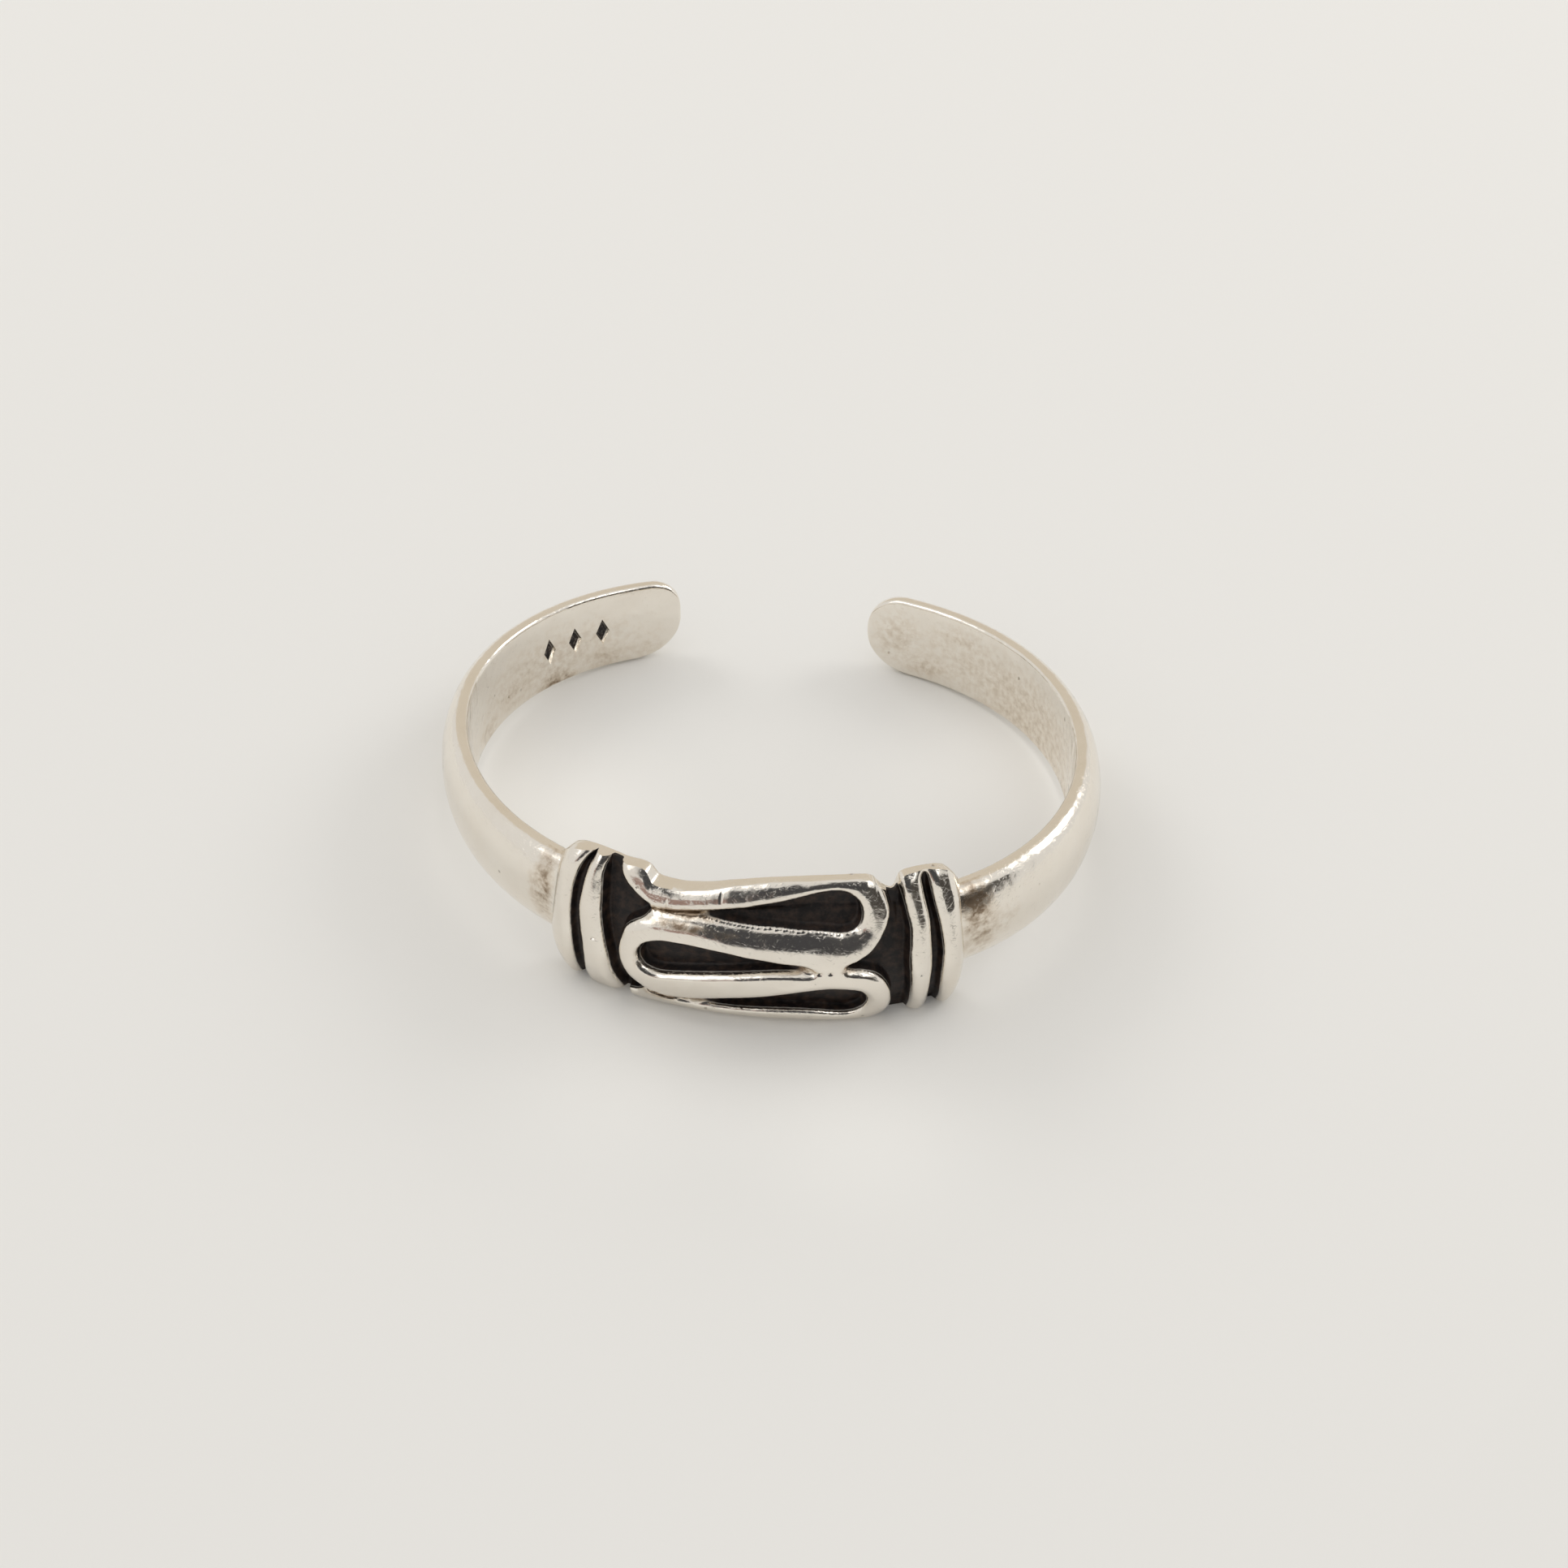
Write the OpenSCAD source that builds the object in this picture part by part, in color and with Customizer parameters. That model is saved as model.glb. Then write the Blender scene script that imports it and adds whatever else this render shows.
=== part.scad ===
// An open silver toe ring. Its half-round band is widened at the front into a panel, with two ribs
// at each end and one raised strip that winds between them over a sunken floor.
// The ring lies on its side, resting on the outer ribs and on one tip, as it would on a table.
//
// Places on the ring are given along the inner wall from the middle of the panel, positive to the
// right, then up from the middle line of the band, then out from the inner wall.

/* [Toe hollow] */
// Widest measure of the toe hollow, side to side
hollow_w = 17.3; // [15.5:0.1:20]
// Narrowest measure of the toe hollow, from the panel to the back
hollow_d = 14.7; // [13.5:0.1:17]
// Degrees that the hand-bent oval is turned
hollow_turn = -15; // [-30:1:30]
// How far the oval is pulled out at three soft corners
hollow_pear = 0.08; // [0:0.01:0.25]
// How far the oval is pulled out on its four diagonals
hollow_square = 0.07; // [0:0.01:0.2]

/* [Band] */
// Width of the band
band_w = 2.65; // [2.2:0.05:3.2]
// Thickness of the band at its flat edges
band_edge = 0.37; // [0.25:0.01:0.5]
// Thickness of the band along its crown
band_crown = 0.8; // [0.6:0.01:0.95]
// Opening between the two tips, along the inner wall
gap_w = 5.8; // [4.6:0.1:9]
// How far the opening lies to the left of straight behind the panel
gap_shift = 0.3; // [-1:0.1:1]
// Rounding of the corners of the left tip
left_tip_r = 0.95; // [0.4:0.05:1.05]
// Rounding of the corners of the right tip
right_tip_r = 1.25; // [0.4:0.05:1.3]

/* [Panel] */
// Angle of the middle of the panel round the hollow, in degrees
panel_at = 267.3; // [262:0.1:278]
// Length of the panel along the inner wall
panel_l = 10.6; // [9.6:0.1:12]
// Height of the panel's rim over the middle line
panel_up = 2.07; // [1.75:0.01:2.4]
// Depth of the panel's foot under the middle line
panel_down = 2.42; // [2:0.01:2.7]
// Thickness of the panel at its rim and foot
rim_t = 0.42; // [0.36:0.01:0.6]
// Thickness of the panel along its crown
crown_t = 1.14; // [1:0.01:1.4]
// How far the crown lies under the middle line
crown_drop = 0.7; // [0:0.05:1]
// Depth of the floor under the crown of the ribs and the strip
relief = 0.4; // [0.2:0.01:0.5]

/* [Ribs] */
// Width of the outermost rib on the left
left_rib_w = 1.04; // [0.6:0.01:1.2]
// Width of the outermost rib on the right
right_rib_w = 0.88; // [0.6:0.01:1.2]
// Width of each inner rib
inner_rib_w = 0.5; // [0.3:0.01:0.6]
// Width of the groove between two ribs
groove_w = 0.24; // [0.15:0.01:0.35]

/* [Winding strip] */
// Width of the strip where it is widest
strip_w = 0.88; // [0.7:0.01:0.95]
// Bare floor between the inner ribs and the strip
floor_gap = 0.45; // [0.3:0.01:0.7]

/* [Punch marks] */
// Number of marks inside the left arm
mark_count = 3; // [1:1:4]
// Distance from mark to mark
mark_pitch = 0.95; // [0.7:0.05:1.2]
// Height of a mark
mark_h = 1.0; // [0.5:0.05:1.3]
// Width of a mark
mark_w = 0.5; // [0.3:0.05:0.6]
// Depth of a mark
mark_depth = 0.12; // [0.05:0.01:0.2]
// Distance from the left tip to the nearest mark
mark_from_tip = 2.5; // [2:0.1:6]

/* [Hidden] */

// Outline of the hollow, as a radius for each angle, with its slope
mean_r = (hollow_w + hollow_d) / 4;
oval = (hollow_w - hollow_d) / 4;
function radius(a) = mean_r + oval * cos(2 * (a - hollow_turn))
    + hollow_pear * sin(3 * a) - hollow_square * cos(4 * a);
function slope(a) = -2 * oval * sin(2 * (a - hollow_turn))
    + 3 * hollow_pear * cos(3 * a) + 4 * hollow_square * sin(4 * a);
function outline(a) = radius(a) * [cos(a), sin(a)];

// Length along the inner wall, measured both ways from the middle of the panel
angle_step = 2;
half_steps = 180 / angle_step;
function walk(way) = [
    for (i = 0, a = panel_at, s = 0; i <= half_steps;
        s = s + way * norm(outline(a + way * angle_step) - outline(a)),
        a = a + way * angle_step, i = i + 1) [s, a]
];
left_walk = walk(-1);
right_walk = walk(1);
wall_l = right_walk[half_steps][0] - left_walk[half_steps][0];
arm_end = [-(wall_l - gap_w) / 2 + gap_shift, (wall_l - gap_w) / 2 + gap_shift];
tip_r = [min(left_tip_r, band_w / 2), min(right_tip_r, band_w / 2)];

// A place on the ring: s along the inner wall, z up, h out from the wall
function angle_at(s) = lookup(s, s < 0 ? left_walk : right_walk);
function outward(a) = let (r = radius(a), d = slope(a))
    [d * sin(a) + r * cos(a), r * sin(a) - d * cos(a)] / norm([r, d]);
function place(s, z, h) = let (a = angle_at(s), p = outline(a) + h * outward(a)) [p.x, p.y, z];

// Outer face of the panel: a low arch from the foot over the crown to the rim
function arch(z) = let (reach = z > -crown_drop ? panel_up + crown_drop : panel_down - crown_drop,
    share = min(1, abs(z + crown_drop) / reach)) rim_t + (crown_t - rim_t) * (1 - share * share);
rim_core_share = 0.8;
rim_core = rim_core_share * rim_t;
function floor_h(z) = max(arch(z) - relief, rim_core);

// Rim of the panel: share of half the panel's length, share of panel_up
rim_rows = [
    [-1.00, 0.66], [-0.96, 0.76], [-0.90, 0.87], [-0.78, 0.95], [-0.60, 0.90], [-0.52, 0.85],
    [-0.45, 0.75], [-0.35, 0.72], [-0.26, 0.74], [-0.10, 0.85], [0.05, 0.94], [0.20, 0.99],
    [0.36, 1.00], [0.51, 0.99], [0.58, 0.94], [0.61, 0.83], [0.65, 0.79], [0.69, 0.90],
    [0.76, 0.98], [0.84, 1.00], [0.91, 0.97], [0.95, 0.89], [1.00, 0.72]
];
// Foot of the panel: share of half the panel's length, share of panel_down
foot_rows = [[-1.00, 0.84], [-0.96, 0.94], [-0.90, 1.00], [0.90, 1.00], [0.96, 0.96], [1.00, 0.86]];
panel_half = panel_l / 2;
function rim(s) = panel_up * lookup(s / panel_half, rim_rows);
function foot(s) = -panel_down * lookup(s / panel_half, foot_rows);

// Winding strip: place along it as a share of its half length, height as a share of the panel's
// half height over its middle, width as a share of strip_w
strip_rows = [
    [-0.98, 0.86, 0.55], [-0.86, 0.77, 0.55], [-0.70, 0.71, 0.53], [-0.50, 0.74, 0.52],
    [-0.28, 0.79, 0.52], [-0.03, 0.86, 0.50], [0.19, 0.94, 0.46], [0.41, 0.99, 0.40],
    [0.62, 1.00, 0.40], [0.80, 0.97, 0.50], [0.91, 0.87, 0.57], [0.93, 0.72, 0.57],
    [0.91, 0.57, 0.57], [0.85, 0.42, 0.60], [0.74, 0.29, 0.70], [0.60, 0.23, 0.90],
    [0.41, 0.25, 1.00], [0.19, 0.31, 1.00], [-0.03, 0.36, 0.97], [-0.26, 0.39, 0.89],
    [-0.48, 0.40, 0.80], [-0.67, 0.36, 0.73], [-0.80, 0.28, 0.66], [-0.88, 0.14, 0.62],
    [-0.92, -0.04, 0.60], [-0.90, -0.23, 0.62], [-0.83, -0.38, 0.66], [-0.70, -0.46, 0.80],
    [-0.51, -0.43, 0.93], [-0.26, -0.35, 0.97], [-0.03, -0.28, 0.91], [0.19, -0.20, 0.84],
    [0.41, -0.15, 0.77], [0.60, -0.13, 0.73], [0.76, -0.17, 0.70], [0.87, -0.29, 0.68],
    [0.91, -0.47, 0.66], [0.90, -0.65, 0.66], [0.84, -0.81, 0.66], [0.70, -0.88, 0.68],
    [0.45, -0.83, 0.82], [0.16, -0.83, 0.84], [-0.16, -0.86, 0.80], [-0.48, -0.86, 0.80],
    [-0.73, -0.84, 0.68], [-0.90, -0.80, 0.50]
];
inner_end = [
    -panel_half + left_rib_w + groove_w + inner_rib_w,
    panel_half - right_rib_w - groove_w - inner_rib_w
];
strip_half = (inner_end[1] - inner_end[0]) / 2 - floor_gap;
strip_mid = (inner_end[0] + inner_end[1]) / 2;
panel_mid = (panel_up - panel_down) / 2;
panel_h = (panel_up + panel_down) / 2;
strip_path = [for (r = strip_rows)
    [strip_mid + strip_half * r[0], panel_mid + panel_h * r[1], strip_w * r[2]]];

// Cross-section of a raised line: share of its width, share of the rounding under its crown
line_rows = [[-0.5, 1], [-0.36, 0.25], [0, 0], [0.36, 0.25], [0.5, 1]];
line_drop = 0.12;
rim_bevel = 0.05;
function held(s, z) = max(foot(s) + rim_bevel, min(rim(s) - rim_bevel, z));
function line_section(p, across) = concat(
    [for (r = [line_rows[0], line_rows[4]])
        let (s = p[0] + across[0] * r[0] * p[2], z = held(s, p[1] + across[1] * r[0] * p[2]))
        place(s, z, rim_core / 2)],
    [for (r = line_rows)
        let (s = p[0] + across[0] * r[0] * p[2], z = held(s, p[1] + across[1] * r[0] * p[2]))
        place(s, z, arch(z) - line_drop * r[1])]
);

// A point between two rows of a path, on a smooth curve through its neighbours
function smooth(p, i, t) = let (last = len(p) - 1, a = p[max(0, i - 1)], b = p[i],
    c = p[min(last, i + 1)], d = p[min(last, i + 2)])
    b + t / 2 * (c - a + t * (2 * a - 5 * b + 4 * c - d + t * (3 * (b - c) + d - a)));
function across_at(p, i) = let (d = p[min(len(p) - 1, i + 1)] - p[max(0, i - 1)])
    [-d[1], d[0]] / norm([d[0], d[1]]);

// A convex block round two sets of points
module block(a, b) {
    points = concat(a, b);
    hull() polyhedron(points = points, faces = [[for (i = [0:len(points) - 1]) i]]);
}

module raised_line(path, parts) {
    fine = [for (i = [0:len(path) - 2], k = [0:parts - 1]) smooth(path, i, k / parts)];
    whole = concat(fine, [path[len(path) - 1]]);
    for (i = [0:len(whole) - 2])
        block(line_section(whole[i], across_at(whole, i)),
            line_section(whole[i + 1], across_at(whole, i + 1)));
}

// A closed skin through rings of points that have the same count
module skin(rings) {
    n = len(rings[0]);
    last = len(rings) - 1;
    sides = [for (i = [0:last - 1], k = [0:n - 1])
        let (m = (k + 1) % n)
        each [[i * n + k, (i + 1) * n + m, (i + 1) * n + k], [i * n + k, i * n + m, (i + 1) * n + m]]];
    polyhedron(points = [for (r = rings) each r], faces = concat(
        [[for (k = [n - 1:-1:0]) k]], sides, [[for (k = [0:n - 1]) last * n + k]]));
}

// Half-round section of the band: share of half its width, share of its rise over the edge
arch_steps = 12;
section_power = 2.2;
function band_rise(u) = sqrt(max(0, 1 - pow(abs(u), section_power)));
function band_h(u) = band_edge + (band_crown - band_edge) * band_rise(u);
band_rows = [for (i = [0:arch_steps]) let (u = -cos(180 * i / arch_steps)) [u, band_h(u)]];

// Each tip is rounded in plan and hammered a little thinner at its very end
tip_thinning = 0.3;
tip_arc = 86;
function band_ring(s, side, way, lift) = let (
    back = min(tip_r[side], abs(arm_end[side] - s)),
    trim = tip_r[side] - sqrt(max(0, pow(tip_r[side], 2) - pow(tip_r[side] - back, 2))),
    half = band_w / 2 - trim,
    thin = 1 - tip_thinning * pow(1 - back / tip_r[side], 3),
    points = concat([[half, lift], [-half, lift]], [for (r = band_rows) [half * r[0], thin * r[1]]]))
    [for (k = [0:len(points) - 1]) let (p = points[way > 0 ? k : len(points) - 1 - k])
        place(s, p[0], p[1])];

// Sections of an arm, from a root sunk in the outer rib to the tip
arm_step = 0.75;
tip_steps = 5;
root_sink = 0.5;
root_lift = 0.1;
root_clear = 0.06;
function arm_rings(side) = let (
    way = side == 0 ? -1 : 1,
    start = way * (panel_half + root_clear),
    full_end = arm_end[side] - way * tip_r[side],
    n = ceil(abs(full_end - start) / arm_step),
    along = concat([for (i = [0:n]) start + (full_end - start) * i / n],
        [for (i = [1:tip_steps]) full_end + way * tip_r[side] * sin(tip_arc * i / tip_steps)]))
    concat([band_ring(way * (panel_half - root_sink), side, way, root_lift)],
        [for (s = along) band_ring(s, side, way, 0)]);

module arm(side) {
    color("silver") skin(arm_rings(side));
}

// Floor plate of the panel, flush inside with the band, its ends just within the outer ribs
plate_steps = 48;
plate_rows = 13;
plate_half = panel_half - 0.04;
module floor_plate() {
    color("dimgray") skin([for (i = [0:plate_steps])
        let (s = plate_half * (2 * i / plate_steps - 1), top = rim(s), low = foot(s))
        concat([place(s, top, 0), place(s, low, 0)],
            [for (k = [0:plate_rows]) let (z = low + (top - low) * k / plate_rows)
                place(s, z, floor_h(z))])]);
}

// A straight rib, from the foot over the crown to the rim
rib_rows = 12;
module rib(mid, w) {
    color("silver") skin([for (r = line_rows)
        let (s = mid + r[0] * w, top = rim(s) - rim_bevel, low = foot(s) + rim_bevel)
        concat([place(s, top, rim_core / 2), place(s, low, rim_core / 2)],
            [for (k = [0:rib_rows]) let (z = low + (top - low) * k / rib_rows)
                place(s, z, arch(z) - line_drop * r[1])])]);
}

module ribs() {
    rib(-panel_half + left_rib_w / 2, left_rib_w);
    rib(inner_end[0] - inner_rib_w / 2, inner_rib_w);
    rib(inner_end[1] + inner_rib_w / 2, inner_rib_w);
    rib(panel_half - right_rib_w / 2, right_rib_w);
}

module winding_strip() {
    color("silver") raised_line(strip_path, 2);
}

// Plain lozenge marks, punched into the inner wall of the left arm
module punch_marks() {
    reach = 1;
    for (i = [0:mark_count - 1]) {
        s = arm_end[0] + mark_from_tip + i * mark_pitch;
        out = outward(angle_at(s));
        translate(place(s, 0, mark_depth - reach)) rotate([0, 90, atan2(out.y, out.x)])
            scale([mark_h, mark_w, 1]) cylinder(h = reach, d = 1, $fn = 4);
    }
}

// Resting pose: the plane through the feet of the outer ribs and under the lower of the two tips
foot_s = foot_rows[3][0] * panel_half;
feet = [place(-foot_s, -panel_down, 0), place(foot_s, -panel_down, 0)];
tips = [for (side = [0, 1])
    place(arm_end[side] - (side == 0 ? -1 : 1) * tip_r[side], -band_w / 2, band_edge)];
function upright(v) = v / norm(v) * (v.z < 0 ? -1 : 1);
planes = [for (t = tips) upright(cross(feet[1] - feet[0], t - feet[0]))];
rest_n = (tips[1] - feet[0]) * planes[0] >= 0 ? planes[0] : planes[1];
rest_a = acos(rest_n.z);
rest_v = cross(rest_n, [0, 0, 1]) / norm(cross(rest_n, [0, 0, 1]));
function turned(p) = p * cos(rest_a) + cross(rest_v, p) * sin(rest_a)
    + rest_v * (rest_v * p) * (1 - cos(rest_a));

// Middle of the resting ring, from places all over the arms and the crown of the panel
survey_step = 0.25;
round_places = [
    for (side = [0, 1], ring = arm_rings(side), p = ring) turned(p),
    for (s = [-panel_half:survey_step:panel_half], z = [-panel_down:survey_step:panel_up])
        turned(place(s, z, arch(z)))
];
rest_mid = [for (k = [0, 1]) let (v = [for (p = round_places) p[k]]) (min(v) + max(v)) / 2];

module toe_ring() {
    translate([-rest_mid.x, -rest_mid.y, -turned(feet[0]).z]) rotate(a = rest_a, v = rest_v)
        difference() {
            union() {
                arm(0);
                arm(1);
                floor_plate();
                ribs();
                winding_strip();
            }
            color("dimgray") punch_marks();
        }
}

toe_ring();
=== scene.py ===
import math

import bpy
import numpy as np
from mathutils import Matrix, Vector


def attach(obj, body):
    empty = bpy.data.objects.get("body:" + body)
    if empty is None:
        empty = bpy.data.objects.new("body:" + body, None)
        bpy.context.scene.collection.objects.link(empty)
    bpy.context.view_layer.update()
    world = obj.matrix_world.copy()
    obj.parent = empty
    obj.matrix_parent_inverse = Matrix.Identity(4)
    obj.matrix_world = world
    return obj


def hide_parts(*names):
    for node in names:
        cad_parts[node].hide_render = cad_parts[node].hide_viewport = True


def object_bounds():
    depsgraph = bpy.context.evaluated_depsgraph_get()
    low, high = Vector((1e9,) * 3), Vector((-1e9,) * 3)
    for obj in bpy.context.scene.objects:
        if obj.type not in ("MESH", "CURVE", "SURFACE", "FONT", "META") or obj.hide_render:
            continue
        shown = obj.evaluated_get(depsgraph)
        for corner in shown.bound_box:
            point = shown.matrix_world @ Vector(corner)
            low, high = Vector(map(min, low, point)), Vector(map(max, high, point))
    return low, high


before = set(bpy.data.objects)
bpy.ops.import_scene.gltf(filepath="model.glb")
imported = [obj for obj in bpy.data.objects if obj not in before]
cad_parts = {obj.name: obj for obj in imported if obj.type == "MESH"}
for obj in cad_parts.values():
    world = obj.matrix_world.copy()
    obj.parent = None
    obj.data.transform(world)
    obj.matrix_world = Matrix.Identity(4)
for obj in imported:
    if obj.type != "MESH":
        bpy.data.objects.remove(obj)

# %% [markdown]
# # An open silver toe ring
# The real ring is one piece of silver: a half-round band, open behind, that widens in front into a
# panel. Two ribs stand at each end of the panel, and between them one raised strip winds to and fro
# over a floor that was blackened and never polished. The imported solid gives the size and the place
# where the ring lies. This lesson makes the same ring at a finer grain and gives it its finish.

cad_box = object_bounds()
MM = 0.001
print("the packed ring measures", [round(float(v) / MM, 2) for v in cad_box[1] - cad_box[0]], "mm")

# %% [markdown]
# ## Working flat, as a silversmith does
# A ring's front is easiest to shape while the metal is a flat strip, and the strip is bent round at
# the end. So every place here is given along the inner wall (s, from the middle of the panel), up (z)
# and out from the inner wall (h), all in millimetres. A flat point is stored as x = s, y = -h, z = z,
# so the outer face already looks towards the viewer, and one function bends it round the hollow.

# %% The hollow's outline and the bend
HOLLOW_W, HOLLOW_D, TURN, PEAR, SQUARE, PANEL_AT = 17.3, 14.7, -15.0, 0.08, 0.07, 267.3
MEAN_R, OVAL = (HOLLOW_W + HOLLOW_D) / 4, (HOLLOW_W - HOLLOW_D) / 4
BAND_W, BAND_EDGE, BAND_CROWN = 2.65, 0.37, 0.8
PANEL_HALF, PANEL_DOWN = 5.3, 2.42
GAP_W, GAP_SHIFT = 5.8, 0.3


def outline(a):
    """Inner wall and outward direction for each angle, in degrees."""
    t = np.radians(a)
    r = MEAN_R + OVAL * np.cos(2 * (t - math.radians(TURN))) + PEAR * np.sin(3 * t) - SQUARE * np.cos(4 * t)
    d = (-2 * OVAL * np.sin(2 * (t - math.radians(TURN))) + 3 * PEAR * np.cos(3 * t)
         + 4 * SQUARE * np.sin(4 * t))
    wall = np.stack([r * np.cos(t), r * np.sin(t)], 1)
    out = np.stack([d * np.sin(t) + r * np.cos(t), r * np.sin(t) - d * np.cos(t)], 1)
    return wall, out / np.linalg.norm(out, axis=1)[:, None]


turns = PANEL_AT + np.arange(-180, 180.01, 0.1)
wall_points = outline(turns)[0]
walked = np.concatenate([[0], np.cumsum(np.linalg.norm(np.diff(wall_points, axis=0), axis=1))])
walked -= np.interp(PANEL_AT, turns, walked)
WALL_L = walked[-1] - walked[0]
ARM_END = (-(WALL_L - GAP_W) / 2 + GAP_SHIFT, (WALL_L - GAP_W) / 2 + GAP_SHIFT)


def bend(s, z, h):
    """Places of flat points on the ring, in millimetres, the ring's axis upright."""
    wall, out = outline(np.interp(s, walked, turns))
    return np.column_stack([wall + np.asarray(h)[:, None] * out, z])


print("inner wall", round(float(WALL_L), 2), "mm round, tips at", np.round(ARM_END, 2))

# %% [markdown]
# ## How it lies
# Nobody holds the ring in the picture. It lies on its side, on the feet of the two outer ribs and on
# the lower of its two tips, so the deep panel lifts the front by a few degrees. The same three points
# give the turn here as in the solid.

# %% The resting pose
TIP_R = (0.95, 1.25)
FOOT_SHARE = 0.9
foot_s = FOOT_SHARE * PANEL_HALF
rests = [Vector(p) for p in bend(
    np.array([-foot_s, foot_s, ARM_END[0] + TIP_R[0], ARM_END[1] - TIP_R[1]]),
    np.array([-PANEL_DOWN, -PANEL_DOWN, -BAND_W / 2, -BAND_W / 2]),
    np.array([0, 0, BAND_EDGE, BAND_EDGE]))]
normals = []
for tip in rests[2:]:
    n = (rests[1] - rests[0]).cross(tip - rests[0]).normalized()
    normals.append(n if n.z > 0 else -n)
lower = 0 if (rests[3] - rests[0]).dot(normals[0]) >= 0 else 1
rest_turn = normals[lower].rotation_difference(Vector((0, 0, 1))).to_matrix().to_4x4()
print("leans", round(math.degrees(normals[lower].angle(Vector((0, 0, 1)))), 2), "degrees")

# %% [markdown]
# ## The outline of the panel
# The rim dips where the strip starts and has a notch before the right ribs, and the foot is nearly
# straight. Each table row is a place along the panel and a height, read from left to right.

# %% Rim, foot and arch of the panel
rim_rows = np.array([
    (-5.30, 1.24), (-5.17, 1.36), (-5.04, 1.52), (-4.93, 1.66), (-4.79, 1.79), (-4.62, 1.87),
    (-4.46, 1.91), (-4.24, 1.935), (-3.99, 1.94), (-3.75, 1.93), (-3.51, 1.91), (-3.34, 1.88),
    (-3.16, 1.88), (-2.93, 1.90), (-2.74, 1.88), (-2.62, 1.82), (-2.54, 1.71), (-2.46, 1.60),
    (-2.36, 1.55), (-2.20, 1.53), (-1.83, 1.52), (-1.61, 1.54), (-1.29, 1.60), (-0.99, 1.66),
    (-0.74, 1.73), (-0.49, 1.81), (-0.03, 1.91), (0.42, 2.00), (1.01, 2.07), (1.52, 2.11),
    (1.94, 2.12), (2.57, 2.12), (2.89, 2.09), (3.05, 2.02), (3.15, 1.89), (3.27, 1.75),
    (3.41, 1.63), (3.52, 1.57), (3.62, 1.62), (3.67, 1.83), (3.74, 2.02), (3.88, 2.09), (4.18, 2.11),
    (4.43, 2.10), (4.71, 2.06), (4.93, 1.97), (5.07, 1.83), (5.18, 1.69), (5.30, 1.48)])
foot_rows = np.array([
    (-5.30, -1.90), (-5.16, -2.14), (-4.94, -2.34), (-4.76, -2.42), (-4.60, -2.42), (4.95, -2.42),
    (5.14, -2.36), (5.30, -2.18)])
thick_rows = np.array([
    (-5.3, 0.52), (-4.7, 0.56), (-4.0, 0.54), (-3.3, 0.47), (-2.4, 0.44), (-1.4, 0.42), (0.0, 0.38),
    (1.0, 0.38), (2.7, 0.40), (3.4, 0.42), (3.9, 0.42), (4.8, 0.44), (5.3, 0.44)])
shoulder_rows = np.array([
    (-5.3, 1.98), (-4.0, 1.96), (-3.0, 1.86), (-2.2, 1.77), (-1.4, 1.75), (0.0, 1.95), (1.3, 2.10),
    (5.3, 2.12)])
foot_thick_rows = np.array([(-5.3, 0.56), (-2.0, 0.55), (1.0, 0.54), (2.4, 0.58), (4.1, 0.54), (5.3, 0.58)])
power_rows = np.array([(-5.3, 2.1), (1.4, 2.1), (3.2, 1.5), (5.3, 1.5)])
CROWN_T, CROWN_Z, FOOT_POWER, PAST_EDGE = 1.12, -0.7, 2.1, 1.08


def softened(rows, width):
    """A table drawn as a curve with its corners eased over the given width."""
    s = np.arange(-PANEL_HALF - 2 * width, PANEL_HALF + 2 * width, 0.01)
    kernel = np.hanning(max(3, int(width / 0.01) | 1))
    padded = np.interp(s, rows[:, 0], rows[:, 1])
    return np.column_stack([s, np.convolve(np.pad(padded, len(kernel) // 2, "edge"), kernel / kernel.sum(),
                                           "valid")])


def along(rows, s):
    return np.interp(s, rows[:, 0], rows[:, 1])


RIM_EASE, FOOT_EASE, FACE_EASE = 0.12, 0.2, 0.8
rim_curve, foot_curve = softened(rim_rows, RIM_EASE), softened(foot_rows, FOOT_EASE)
thick_curve, shoulder_curve = softened(thick_rows, FACE_EASE), softened(shoulder_rows, FACE_EASE)
foot_thick_curve = softened(foot_thick_rows, FACE_EASE)


def slant(curve):
    """How much longer the way straight up to a sloping edge is than the shortest way to it."""
    return np.column_stack([curve[:, 0], np.hypot(1, np.gradient(curve[:, 1], curve[:, 0]))])


rim_slant, foot_slant = slant(rim_curve), slant(foot_curve)


def arch(s, z):
    """Height of the polished outer face before anything is cut in it."""
    reach = np.where(z > CROWN_Z, along(shoulder_curve, s) - CROWN_Z, PANEL_DOWN + CROWN_Z)
    share = np.minimum(PAST_EDGE, np.abs(z - CROWN_Z) / reach)
    edge = np.where(z > CROWN_Z, along(thick_curve, s), along(foot_thick_curve, s))
    power = np.where(z > CROWN_Z, along(power_rows, s), FOOT_POWER)
    return edge + (CROWN_T - edge) * (1 - share ** power)


print("panel rim from", rim_rows[:, 1].min(), "to", rim_rows[:, 1].max(), "mm over the middle line")

# %% [markdown]
# ## The sunken places
# On the real ring the strip and the ribs are what is left standing, so the sunken places between
# them are drawn here: a groove between each pair of ribs, a field inside each inner rib, and three
# tear shapes inside the turns of the strip. Each row is a corner of an outline, which is then drawn
# as a smooth closed curve. Some of them run out to a shallow end, where the metal was never cut deep.

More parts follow.
